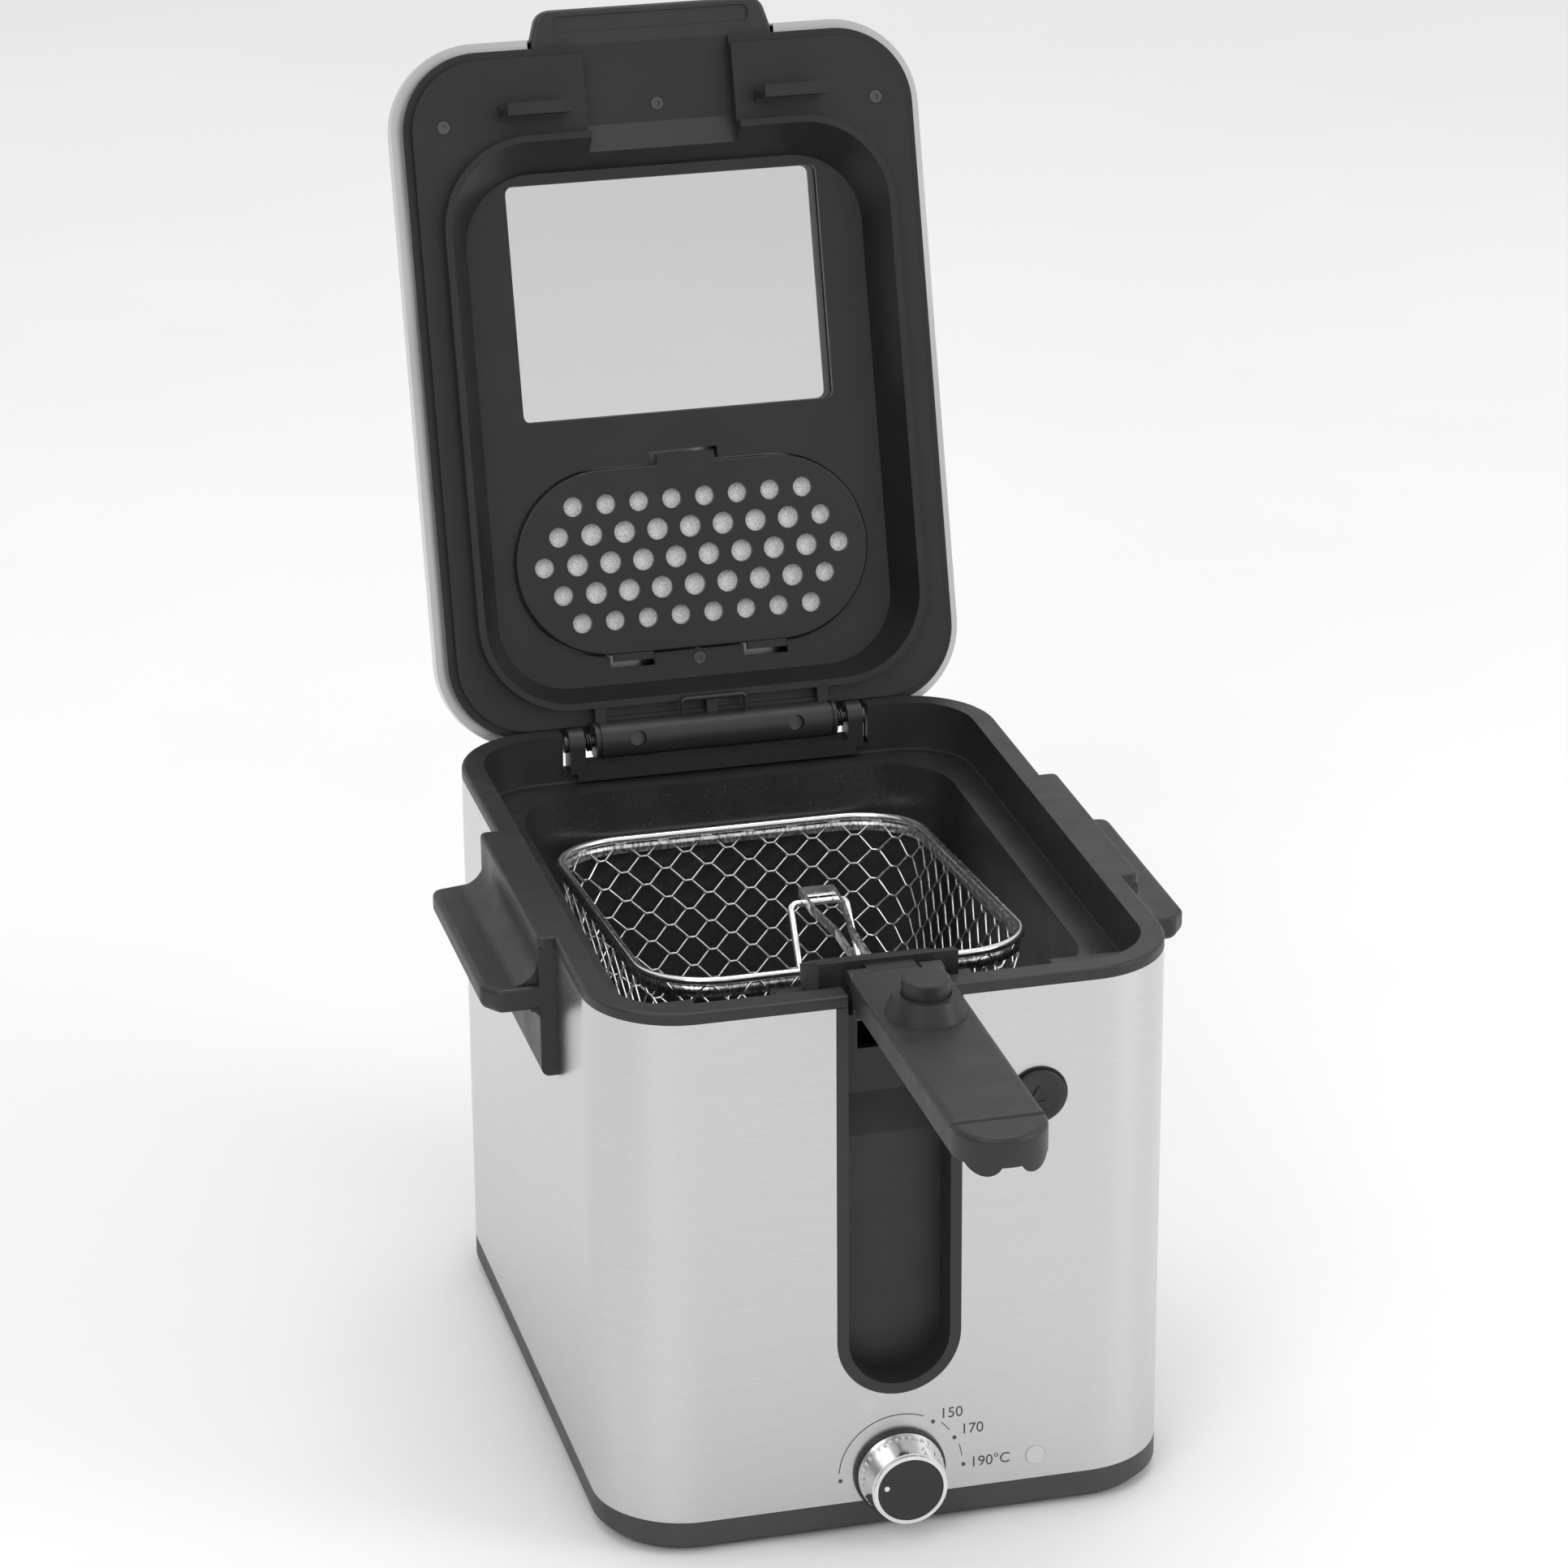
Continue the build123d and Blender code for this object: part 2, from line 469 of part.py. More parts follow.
def side_handle():
    """Right-hand handle: a shelf on a back plate that reaches up to the rim and down below the shelf."""
    plan = Polygon((HW, -57), (SH_X - 5, -57), (SH_X, -50), (SH_X, 36), (HW + 5, 40), (HW, 40), align=None)
    shelf = raised(plan, SH_Z0, SH_Z1)
    shelf = fillet(shelf.edges().filter_by(Axis.Z).sort_by(Axis.X)[-3:], 4.0)
    shelf = fillet(shelf.edges().group_by(Axis.Z)[-1].filter_by(lambda e: e.center().X > HW + 8), 2.0)
    shelf = fillet(shelf.edges().group_by(Axis.Z)[0].filter_by(lambda e: e.center().X > HW + 8), 3.5)
    plate = block(HW, HW + 5.5, -57, 40, LEG_Z, Z_SHELL_TOP)
    plate = fillet(plate.edges().filter_by(Axis.Y).group_by(Axis.Z)[0].sort_by(Axis.X)[-1], 3.0)
    cove_r = 9.0
    x_c = HW + 5.5 + cove_r
    z_c = SH_Z1 + cove_r
    cove = block(HW + 3, x_c, -54, 36, SH_Z1 - 2, z_c) - rod_y(x_c, z_c, -60, 44, cove_r)
    low_r = 3.0
    x_l = HW + 5.5 + low_r
    z_l = SH_Z0 - low_r
    low = block(HW + 3, x_l, -56, 38, z_l, SH_Z0 + 1) - rod_y(x_l, z_l, -60, 44, low_r)
    out = shelf + plate + cove + low
    under = block(HW + 9, SH_X - 6, -38, 30, SH_Z0 - 1, SH_Z0 + 3)
    out -= under
    for y in HANDLE_SCREW_Y:
        out -= rod_x(y, HANDLE_SCREW_Z, HW - 1, HW + 9.2, 1.62)
    return out


right = side_handle()
save("carry_handle_right", right)
save("carry_handle_left", mirror(right, about=Plane.YZ))
hs = []
for sx in (-1, 1):
    for y in HANDLE_SCREW_Y:
        xs = sorted((sx * (HW - SHEET), sx * (HW - SHEET - 2)))
        xt = sorted((sx * (HW - SHEET), sx * (HW + 8.5)))
        hs.append(rod_x(y, HANDLE_SCREW_Z, xs[0], xs[1], 3.3) + rod_x(y, HANDLE_SCREW_Z, xt[0], xt[1], 1.6))
save("handle_screws", group(hs))

# ---------------------------------------------------------------- hinge on the body
BR_T = 2.5
br_front = BACK - RIM_WALL - BR_T
bracket = block(-53, 53, br_front, BACK - RIM_WALL, Z_SKIRT + 0.2, bridge_z + BR_T)
bracket += block(-EAR_X1, EAR_X1, br_front, BACK - 1, bridge_z, bridge_z + BR_T)
for sx in (-1, 1):
    x0, x1 = sorted((sx * EAR_X0, sx * EAR_X1))
    bracket += block(x0, x1, HINGE_Y - 5.5, HINGE_Y + 4, bridge_z, HINGE_Z)
    bracket += rod_x(HINGE_Y, HINGE_Z, x0, x1, 5.5)
    bracket -= rod_x(HINGE_Y, HINGE_Z, x0 - 1, x1 + 1, PIN_R + 0.02)
    bracket -= cone_z(sx * BR_SCREW_X, BACK - 4, bridge_z + BR_T - 1.6, bridge_z + BR_T, 1.3, 2.9)
    bracket -= rod_z(sx * BR_SCREW_X, BACK - 4, bridge_z - 1, bridge_z + BR_T, 1.3)
# room for the barrel over the plate
bracket -= rod_x(HINGE_Y, HINGE_Z, -EAR_X0 + 0.01, EAR_X0 - 0.01, BARREL_R + 0.5)
save("hinge_bracket", bracket)
bs = []
for sx in (-1, 1):
    bs.append(rod_z(sx * BR_SCREW_X, BACK - 4, Z_SKIRT + 0.5, bridge_z + BR_T - 1.6, 1.23)
              + cone_z(sx * BR_SCREW_X, BACK - 4, bridge_z + BR_T - 1.6, bridge_z + BR_T - 0.2, 1.25, 2.6))
save("bracket_screws", group(bs))
pins = []
coils = []
for sx in (-1, 1):
    a0, a1 = sorted((sx * (BARREL_HL - 6), sx * (EAR_X1 + 0.2)))
    b0, b1 = sorted((sx * EAR_X1, sx * (EAR_X1 + 1.4)))
    pins.append(rod_x(HINGE_Y, HINGE_Z, a0, a1, PIN_R) + rod_x(HINGE_Y, HINGE_Z, b0, b1, 3.2))
    start = min(sx * (BARREL_HL + 0.8), sx * (EAR_X0 - 0.8))
    coils.append(Pos(start, HINGE_Y, HINGE_Z) * Rot(0, 90, 0) * coil(2.5, EAR_X0 - BARREL_HL - 1.6, 3.0, 0.45))
save("hinge_pins", group(pins))
save("hinge_springs", group(coils))

# ---------------------------------------------------------------- lid: barrel, frame, skin
SCREW_BX = 30.0
barrel = rod_x(HINGE_Y, HINGE_Z, -BARREL_HL, BARREL_HL, BARREL_R)
for sx in (-1, 1):
    c0, c1 = sorted((sx * (BARREL_HL - 1.2), sx * (BARREL_HL - 2.2)))
    groove = rod_x(HINGE_Y, HINGE_Z, c0, c1, BARREL_R + 1) - rod_x(HINGE_Y, HINGE_Z, c0 - 1, c1 + 1, BARREL_R - 0.7)
    barrel -= groove
    p0, p1 = sorted((sx * (BARREL_HL - 6.5), sx * (BARREL_HL + 1)))
    barrel -= rod_x(HINGE_Y, HINGE_Z, p0, p1, PIN_R + SHAFT_FIT)
    barrel -= rod_z(sx * SCREW_BX, HINGE_Y, HINGE_Z - 8, HINGE_Z - 2.5, 3.0)
    barrel -= rod_z(sx * SCREW_BX, HINGE_Y, HINGE_Z - 8, HINGE_Z + 8, SCREW_R + 0.1)
save("hinge_barrel", opened(barrel))
brs = []
for sx in (-1, 1):
    brs.append(rod_z(sx * SCREW_BX, HINGE_Y, HINGE_Z - 4.0, HINGE_Z - 2.5, 2.8)
               + rod_z(sx * SCREW_BX, HINGE_Y, HINGE_Z - 2.5, LID_Z0 - 1.5, SCREW_R))
save("barrel_screws", group([opened(screw) for screw in brs]))
CLIP_R = 0.8
clip = tube([(-12, HINGE_Y, HINGE_Z + BARREL_R + 0.05), (-12, HINGE_Y, HINGE_Z + BARREL_R + 6.5),
             (12, HINGE_Y, HINGE_Z + BARREL_R + 6.5), (12, HINGE_Y, HINGE_Z + BARREL_R + 0.05)], CLIP_R, 1.6)
save("retaining_clip", clip)

frame = slab(LID_W - 2 * LIP_W, LID_D - 2 * LIP_W, LID_R - LIP_W, Z_RIM + 3.5, LID_Z0, LID_YC)
frame += slab(LID_W - 13, LID_D - 13, LID_R - 6.5, LID_UNDER, Z_RIM + 3.5, LID_YC)
RING_HW = 85.0
RING_Y0 = LID_Y1 - 224.0
RING_Y1 = LID_Y1 - 13.0
frame += slab_y(RING_HW, RING_Y0, RING_Y1, 34, RING_Z, DISH_Z + DISH_T)
cut_low = Pos(0, (RING_Y0 + RING_Y1) / 2, RING_Z - 0.01) * RectangleRounded(
    2 * RING_HW - 5, RING_Y1 - RING_Y0 - 5, 31.5)
DISH_Y0 = RING_Y0 + 14.0
DISH_Y1 = RING_Y1 - 7.0
cut_high = Pos(0, (DISH_Y0 + DISH_Y1) / 2, DISH_Z) * RectangleRounded(2 * RING_HW - 20, DISH_Y1 - DISH_Y0, 26)
frame -= loft([cut_low, cut_high])
# room for the collar and the root of the handle
frame -= prism_x([(FRONT - 8, LID_UNDER - 8), (COLLAR_Y1 + 3.5, LID_UNDER - 8), (COLLAR_Y1 + 3.5, Z_RIM - 3),
                  (FRONT + 30, Z_RIM + 6.6), (FRONT - 8, Z_RIM + 6.6)], -28, 28)
# window opening and filter pocket
WIN_HW = 59.0
WIN_Y0 = LID_Y1 - 206.0
WIN_Y1 = LID_Y1 - 119.0
frame -= slab_y(WIN_HW, WIN_Y0, WIN_Y1, 3, DISH_Z - 1, DISH_Z + DISH_T + 1)
FIL_Y = LID_Y1 - 65.5
FIL_HW = 67.0
FIL_HD = 34.5


def stadium(grow, z0, z1):
    return slab(2 * (FIL_HW + grow), 2 * (FIL_HD + grow), FIL_HD + grow - 0.01, z0, z1, FIL_Y)


frame += stadium(2.0, DISH_Z + DISH_T - 0.5, DISH_Z + DISH_T + 9)
frame -= stadium(0.6, DISH_Z - 1, DISH_Z + DISH_T + 10)
# saddle on the barrel
saddle = block(-BARREL_HL + 3, BARREL_HL - 3, HINGE_Y - 8, HINGE_Y + 1, HINGE_Z + 3, LID_Z0)
saddle += block(-BARREL_HL + 1.5, -BARREL_HL + 5.5, HINGE_Y - 12, HINGE_Y, HINGE_Z, LID_Z0)
saddle += block(BARREL_HL - 5.5, BARREL_HL - 1.5, HINGE_Y - 12, HINGE_Y, HINGE_Z, LID_Z0)
saddle += block(-2, 2, HINGE_Y - 12, HINGE_Y, HINGE_Z, LID_Z0)
frame += saddle
frame -= rod_x(HINGE_Y, HINGE_Z, -BARREL_HL - 2, BARREL_HL + 2, BARREL_R)
for sx in (-1, 1):
    frame -= rod_z(sx * SCREW_BX, HINGE_Y, HINGE_Z + 3, LID_Z0 - 0.8, SCREW_R + 0.02)
# front hooks
HK_Y = LID_Y1 - 232.5
HK_Z0 = LEDGE_Z - 5.5
for sx in (-1, 1):
    h0, h1 = sorted((sx * 35.5, sx * 60.5))
    frame += block(h0, h1, HK_Y - 1.2, HK_Y + 1.3, HK_Z0, Z_RIM + 4)
    frame += block(h0, h1, HK_Y - 3.2, HK_Y - 1.0, HK_Z0, HK_Z0 + 2)
    frame += block(h0, h1, HK_Y - 2.6, HK_Y + 2.6, LID_UNDER - 1.5, LID_UNDER + 1)
# raised step behind the pull tab
STEP_Y0 = LID_Y1 - 248.0
frame += block(28.5, 40, STEP_Y0, STEP_Y0 + 6, LID_UNDER - 0.01, LID_UNDER + 1)
# pockets for the tabs and the clip of the filter cover
for x0, x1 in ((-33, -18), (18, 33)):
    frame -= block(x0 - 1, x1 + 1, FIL_Y + FIL_HD - 3, FIL_Y + FIL_HD + 5, DISH_Z - 0.5, DISH_Z + DISH_T + 12)
frame -= block(-13, 13, FIL_Y - FIL_HD - 5.0, FIL_Y - FIL_HD + 2, DISH_Z - 0.5, DISH_Z + DISH_T + 12)
# screw holes
LS = [(-81.5, LID_Y1 - 229.0), (81.5, LID_Y1 - 229.0), (0.0, LID_Y1 - 232.5), (0.0, LID_Y1 - 27.0)]
LS_Z = [LID_UNDER, LID_UNDER, Z_RIM + 6.6, DISH_Z]
for (x, y), z in zip(LS, LS_Z):
    frame -= rod_z(x, y, z - 1, z + 1.2, 2.6)
    frame -= rod_z(x, y, z - 1, LID_Z1, SCREW_R + 0.1)
frame -= rod_z(LS[3][0], LS[3][1], DISH_Z + DISH_T, LID_Z1, 3.8)
save("lid_frame", opened(frame))

skin = slab(LID_W, LID_D, LID_R, LID_Z0, LID_Z1, LID_YC)
skin = fillet(skin.edges().group_by(Axis.Z)[-1], 11.0)
hollow2 = slab(LID_W - 2 * SHEET, LID_D - 2 * SHEET, LID_R - SHEET, LID_Z0 + SHEET, LID_Z1 - SHEET, LID_YC)
hollow2 = fillet(hollow2.edges().group_by(Axis.Z)[-1], 10.2)
skin -= hollow2
skin -= slab(LID_W - 2 * LIP_W, LID_D - 2 * LIP_W, LID_R - LIP_W, LID_Z0 - 1, LID_Z0 + 2, LID_YC)
# posts with nuts for the lid screws
BOSS_R = 3.6
BOSS_Z0 = [LID_Z0, LID_Z0, LID_Z0 + 4.3, DISH_Z + DISH_T]
for (x, y), z in zip(LS, BOSS_Z0):
    skin += rod_z(x, y, z, LID_Z1 - SHEET + 0.1, BOSS_R)
    skin -= rod_z(x, y, z - 1, LID_Z1 - 3, SCREW_R + 0.02)
skin -= slab_y(WIN_HW, WIN_Y0, WIN_Y1, 3, LID_Z1 - 3, LID_Z1 + 1)
TAB_HW0 = 45.0
TAB_HW1 = 38.0
TAB_Z0 = Z_RIM + 7.2
TAB_Z1 = Z_RIM + 12.8
skin -= block(-TAB_HW0 - 1.5, TAB_HW0 + 1.5, LID_YC - LID_D / 2 - 1, LID_YC - LID_D / 2 + 6, LID_Z0 - 1, TAB_Z1 + 0.3)
for i in range(5):
    skin -= slab(60, 3, 1.45, LID_Z1 - 3, LID_Z1 + 1, FIL_Y - 16 + 8 * i)
save("lid_skin", opened(skin))

tab_front = LID_Y1 - 269.0
tab_plan = Polygon((-TAB_HW0, LID_YC - LID_D / 2 + 3.5), (TAB_HW0, LID_YC - LID_D / 2 + 3.5),
                   (TAB_HW0, LID_YC - LID_D / 2), (TAB_HW1 + 4, tab_front), (-TAB_HW1 - 4, tab_front),
                   (-TAB_HW0, LID_YC - LID_D / 2), align=None)
pull = raised(tab_plan, TAB_Z0, TAB_Z1)
pull = fillet(pull.edges().filter_by(Axis.Z).group_by(Axis.Y)[0], 6.0)
pull = fillet(pull.edges().group_by(Axis.Z)[0].filter_by(lambda e: e.center().Y < LID_YC - LID_D / 2 - 1), 1.5)
pull -= slab_y(TAB_HW1 - 1, tab_front + 2.5, LID_YC - LID_D / 2 - 1.5, 2.4, TAB_Z0 - 1, TAB_Z0 + 0.8)
pull += block(-TAB_HW0, TAB_HW0, LID_YC - LID_D / 2 + 3.4, LID_Y1 - 226, LID_Z0, TAB_Z1)
pull -= rod_z(LS[2][0], LS[2][1], LID_Z0 - 1, TAB_Z1 + 1, SCREW_R + 0.1)
save("pull_tab", opened(pull))

lsc = []
for (x, y), z in zip(LS, LS_Z):
    head = rod_z(x, y, z + 0.0, z + 1.2, 2.4) - rod_z(x, y, z - 1, z + 0.5, 1.0)
    lsc.append(head + rod_z(x, y, z + 1.2, LID_Z1 - 4, SCREW_R))
save("lid_screws", opened(group(lsc)))

GLASS_T = 3.0
GL_Z = DISH_Z + DISH_T
glass = slab_y(WIN_HW + 3, WIN_Y0 - 3, WIN_Y1 + 3, 5, GL_Z, GL_Z + GLASS_T)
save("window_glass", opened(glass))
gasket = slab_y(WIN_HW + 3, WIN_Y0 - 3, WIN_Y1 + 3, 5, GL_Z + GLASS_T, LID_Z1 - SHEET)
gasket -= slab_y(WIN_HW, WIN_Y0, WIN_Y1, 3, GL_Z, LID_Z1)
save("window_gasket", opened(gasket))

# ---------------------------------------------------------------- filter cover and mat
COV_T = 2.5
COV_Z0 = DISH_Z - 0.1 - COV_T
cover = stadium(0, COV_Z0, COV_Z0 + COV_T)
cover = fillet(cover.edges().group_by(Axis.Z)[0], 0.8)
PITCH = 12.5
ROWS = (8, 9, 10, 9, 8)
for k, n in enumerate(ROWS):
    for i in range(n):
        hx = (i - (n - 1) / 2) * PITCH
        hy = FIL_Y + (k - 2) * 10.8
        edge = k in (0, 4) or i in (0, n - 1)
        cover -= rod_z(hx, hy, COV_Z0 - 1, COV_Z0 + COV_T + 1, 3.7 if edge else 4.1)
for x0, x1 in ((-33, -18), (18, 33)):
    cover += block(x0, x1, FIL_Y + FIL_HD - 2, FIL_Y + FIL_HD + 2.5, COV_Z0 + 0.2, COV_Z0 + 2.2)
cover += block(-11, 11, FIL_Y - FIL_HD - 3.8, FIL_Y - FIL_HD + 1, COV_Z0, COV_Z0 + 1.6)
cover += block(-7, 7, FIL_Y - FIL_HD - 3.8, FIL_Y - FIL_HD - 2.4, COV_Z0, COV_Z0 + 4.6)
save("filter_cover", opened(cover))
mat = stadium(-0.4, DISH_Z + 0.4, DISH_Z + 9.4)
save("filter_mat", opened(mat))

# ---------------------------------------------------------------- basket
n_len = math.hypot(1.0, BK_SLOPE)
rim_dir = (0, BK_SLOPE / n_len, 1 / n_len)


def rim_plane(shift):
    z0 = BK_RIM_Z - BK_SLOPE * (BK_Y - 21.4)
    return Plane(origin=(0, BK_Y + shift * rim_dir[1], z0 + shift * rim_dir[2]), x_dir=(1, 0, 0), z_dir=rim_dir)


cw = BK_W - 2 * WIRE_R
cd = (BK_D - 2 * WIRE_R) * n_len
FLOOR_W = 124.0
FLOOR_D = 154.0


def basket_solid(shrink, z_floor, shift):
    low = Pos(0, BK_Y, z_floor) * RectangleRounded(FLOOR_W - 2 * shrink, FLOOR_D - 2 * shrink, 22 - shrink)
    high = rim_plane(shift) * RectangleRounded(cw + BK_WALL - 2 * shrink, cd + BK_WALL - 2 * shrink,
                                               BK_R - WIRE_R + BK_WALL / 2 - shrink)
    return loft([low, high])


mesh = basket_solid(0, BK_FLOOR, -WIRE_R - 0.05) - basket_solid(BK_WALL, BK_FLOOR + BK_WALL, -WIRE_R - 0.04)
save("basket_mesh", mesh)
rim_path = (rim_plane(0) * RectangleRounded(cw, cd, BK_R - WIRE_R)).wires()[0]
rim_wire = sweep(Plane(origin=rim_path @ 0, z_dir=rim_path % 0) * Circle(WIRE_R), path=rim_path)
save("basket_rim_wire", rim_wire)

BRK_R = 1.2
BAR_Y = -25.0
BAR_Z = 189.4
wall_y = BK_Y - BK_D / 2 + 6.4
u_wire = tube([(-11.6, wall_y, 148.5), (-9.9, BAR_Y, BAR_Z), (9.9, BAR_Y, BAR_Z), (11.6, wall_y, 148.5)], BRK_R, 2.5)
save("basket_bracket", u_wire)

ST_Z0 = BAR_Z + BRK_R + 0.02
ST_H = 3.4
ST_T = 1.2
far_y = BAR_Y + 3.0
outer = Polygon((-3.2, COLLAR_Y1 - 12), (-3.2, -60), (-6.2, -38), (-6.2, far_y), (6.2, far_y), (6.2, -38),
                (3.2, -60), (3.2, COLLAR_Y1 - 12), align=None)
band = offset(outer, amount=-ST_T, kind=Kind.INTERSECTION)
strap = raised(outer - band, ST_Z0, ST_Z0 + ST_H)
save("handle_strap", strap)

collar = prism_x([(PIV_Y + 8.1, LEDGE_Z + GAP), (COLLAR_Y1, LEDGE_Z + GAP), (COLLAR_Y1, LEDGE_Z + 4.4),
                  (COLLAR_Y1 - 5, LEDGE_Z + 6.0), (FRONT + 27, Z_RIM + 1.0), (FRONT + 20, Z_RIM + 4.5),
                  (PIV_Y + 8.1, Z_RIM + 6.0)], -COLLAR_HW, COLLAR_HW)
round_plan = slab_y(COLLAR_HW, PIV_Y - 10, COLLAR_Y1, 9, LEDGE_Z - 5, Z_RIM + 12)
collar = collar & round_plan
collar += rod_x(PIV_Y, PIV_Z, -TONGUE_HW, TONGUE_HW, 6.6)
collar += block(-TONGUE_HW, TONGUE_HW, PIV_Y, PIV_Y + 9, PIV_Z - 6.0, PIV_Z + 6.0)
collar -= rod_x(PIV_Y, PIV_Z, -TONGUE_HW - 1, TONGUE_HW + 1, 2.5)
collar -= raised(outer, ST_Z0, ST_Z0 + ST_H) - raised(band, ST_Z0 - 1, ST_Z0 + ST_H + 1)
save("handle_collar", collar)
save("grip_pivot_pin", rod_x(PIV_Y, PIV_Z, -GRIP_HW + 1, GRIP_HW - 1, 2.5))

# ---------------------------------------------------------------- folding grip and its button
G_Z1 = PIV_Z + GRIP_ROOT_R
G_Z0 = G_Z1 - GRIP_T
tip_c = PIV_Y - GRIP_L + GRIP_HW - 0.5
plan = Polygon((-GRIP_HW, PIV_Y), (GRIP_HW, PIV_Y), (GRIP_HW - 0.5, tip_c), (-GRIP_HW + 0.5, tip_c), align=None)
plan += Pos(0, tip_c) * Circle(GRIP_HW - 0.5)
bar = raised(plan, G_Z0, G_Z1)
bar = fillet(bar.edges().group_by(Axis.Z)[-1].filter_by(lambda e: e.center().Y < PIV_Y - 1), 2.2)
grip = bar + rod_x(PIV_Y, PIV_Z, -GRIP_HW, GRIP_HW, GRIP_ROOT_R)
lobes = None
for sx in (-1, 1):
    lobe = rod_y(sx * 8.2, PIV_Z, PIV_Y - GRIP_L, PIV_Y - GRIP_L + 24, 5.6)
    lobe += cone_y(sx * 8.2, PIV_Z, PIV_Y - GRIP_L + 40, PIV_Y - GRIP_L + 24, 3.0, 5.6)
    lobes = lobe if lobes is None else lobes + lobe
lobes = lobes & raised(plan, G_Z0 - 8, G_Z0 + 4)
grip += lobes
grip += cone_z(0, BTN_Y, G_Z1 - 1, G_Z1 + 6.8, 14.0, 11.0)
grip += rod_z(0, BTN_Y, G_Z0 - 6, G_Z0 + 1, 11.0)
BT_R = 8.0
grip -= rod_z(0, BTN_Y, G_Z0 + 3, G_Z1 + 8, BT_R + GAP)
grip -= rod_z(0, BTN_Y, G_Z0 - 7, G_Z0 + 4, 3.3)
grip -= rod_x(PIV_Y, PIV_Z, -TONGUE_HW - GAP, TONGUE_HW + GAP, 8.1)
grip -= block(-TONGUE_HW - GAP, TONGUE_HW + GAP, PIV_Y, PIV_Y + 9, PIV_Z - 9, PIV_Z + 9)
grip -= rod_x(PIV_Y, PIV_Z, -GRIP_HW - 1, GRIP_HW + 1, 2.5 + SHAFT_FIT)
save("grip", grip)

hb = rod_z(0, BTN_Y, G_Z1 + 1, G_Z1 + 12.5, BT_R)
hb = fillet(hb.edges().group_by(Axis.Z)[-1], 1.0)
hb += rod_z(0, BTN_Y, G_Z0 - 2.5, G_Z1 + 2, 3.0)
save("handle_button", hb)
SP_W = 0.45
sp = Pos(0, BTN_Y, G_Z0 + 3 + SP_W + 0.05) * coil(4, GRIP_T - 2 - 2 * SP_W - 0.1, 5.4, SP_W)
save("button_spring", sp)
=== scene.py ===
import bpy, bmesh, json, math
from mathutils import Matrix, Vector


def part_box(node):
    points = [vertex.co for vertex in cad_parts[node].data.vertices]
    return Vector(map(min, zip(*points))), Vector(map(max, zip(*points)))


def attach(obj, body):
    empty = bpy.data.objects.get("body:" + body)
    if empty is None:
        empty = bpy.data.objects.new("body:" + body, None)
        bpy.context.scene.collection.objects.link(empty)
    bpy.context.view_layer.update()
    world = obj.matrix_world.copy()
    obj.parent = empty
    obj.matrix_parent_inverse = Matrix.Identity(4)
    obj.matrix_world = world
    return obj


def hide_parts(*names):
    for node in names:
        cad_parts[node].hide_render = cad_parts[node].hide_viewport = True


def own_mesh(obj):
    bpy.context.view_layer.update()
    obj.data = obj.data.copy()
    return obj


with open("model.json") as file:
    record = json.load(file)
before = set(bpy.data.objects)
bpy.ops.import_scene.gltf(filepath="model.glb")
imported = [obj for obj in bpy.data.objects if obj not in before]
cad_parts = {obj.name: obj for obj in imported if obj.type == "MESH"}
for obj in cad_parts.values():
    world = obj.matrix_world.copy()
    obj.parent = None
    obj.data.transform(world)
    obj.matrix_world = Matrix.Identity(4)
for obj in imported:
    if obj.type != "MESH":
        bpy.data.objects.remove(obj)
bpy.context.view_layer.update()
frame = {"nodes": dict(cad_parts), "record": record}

nodes = frame["nodes"]
scene = bpy.context.scene


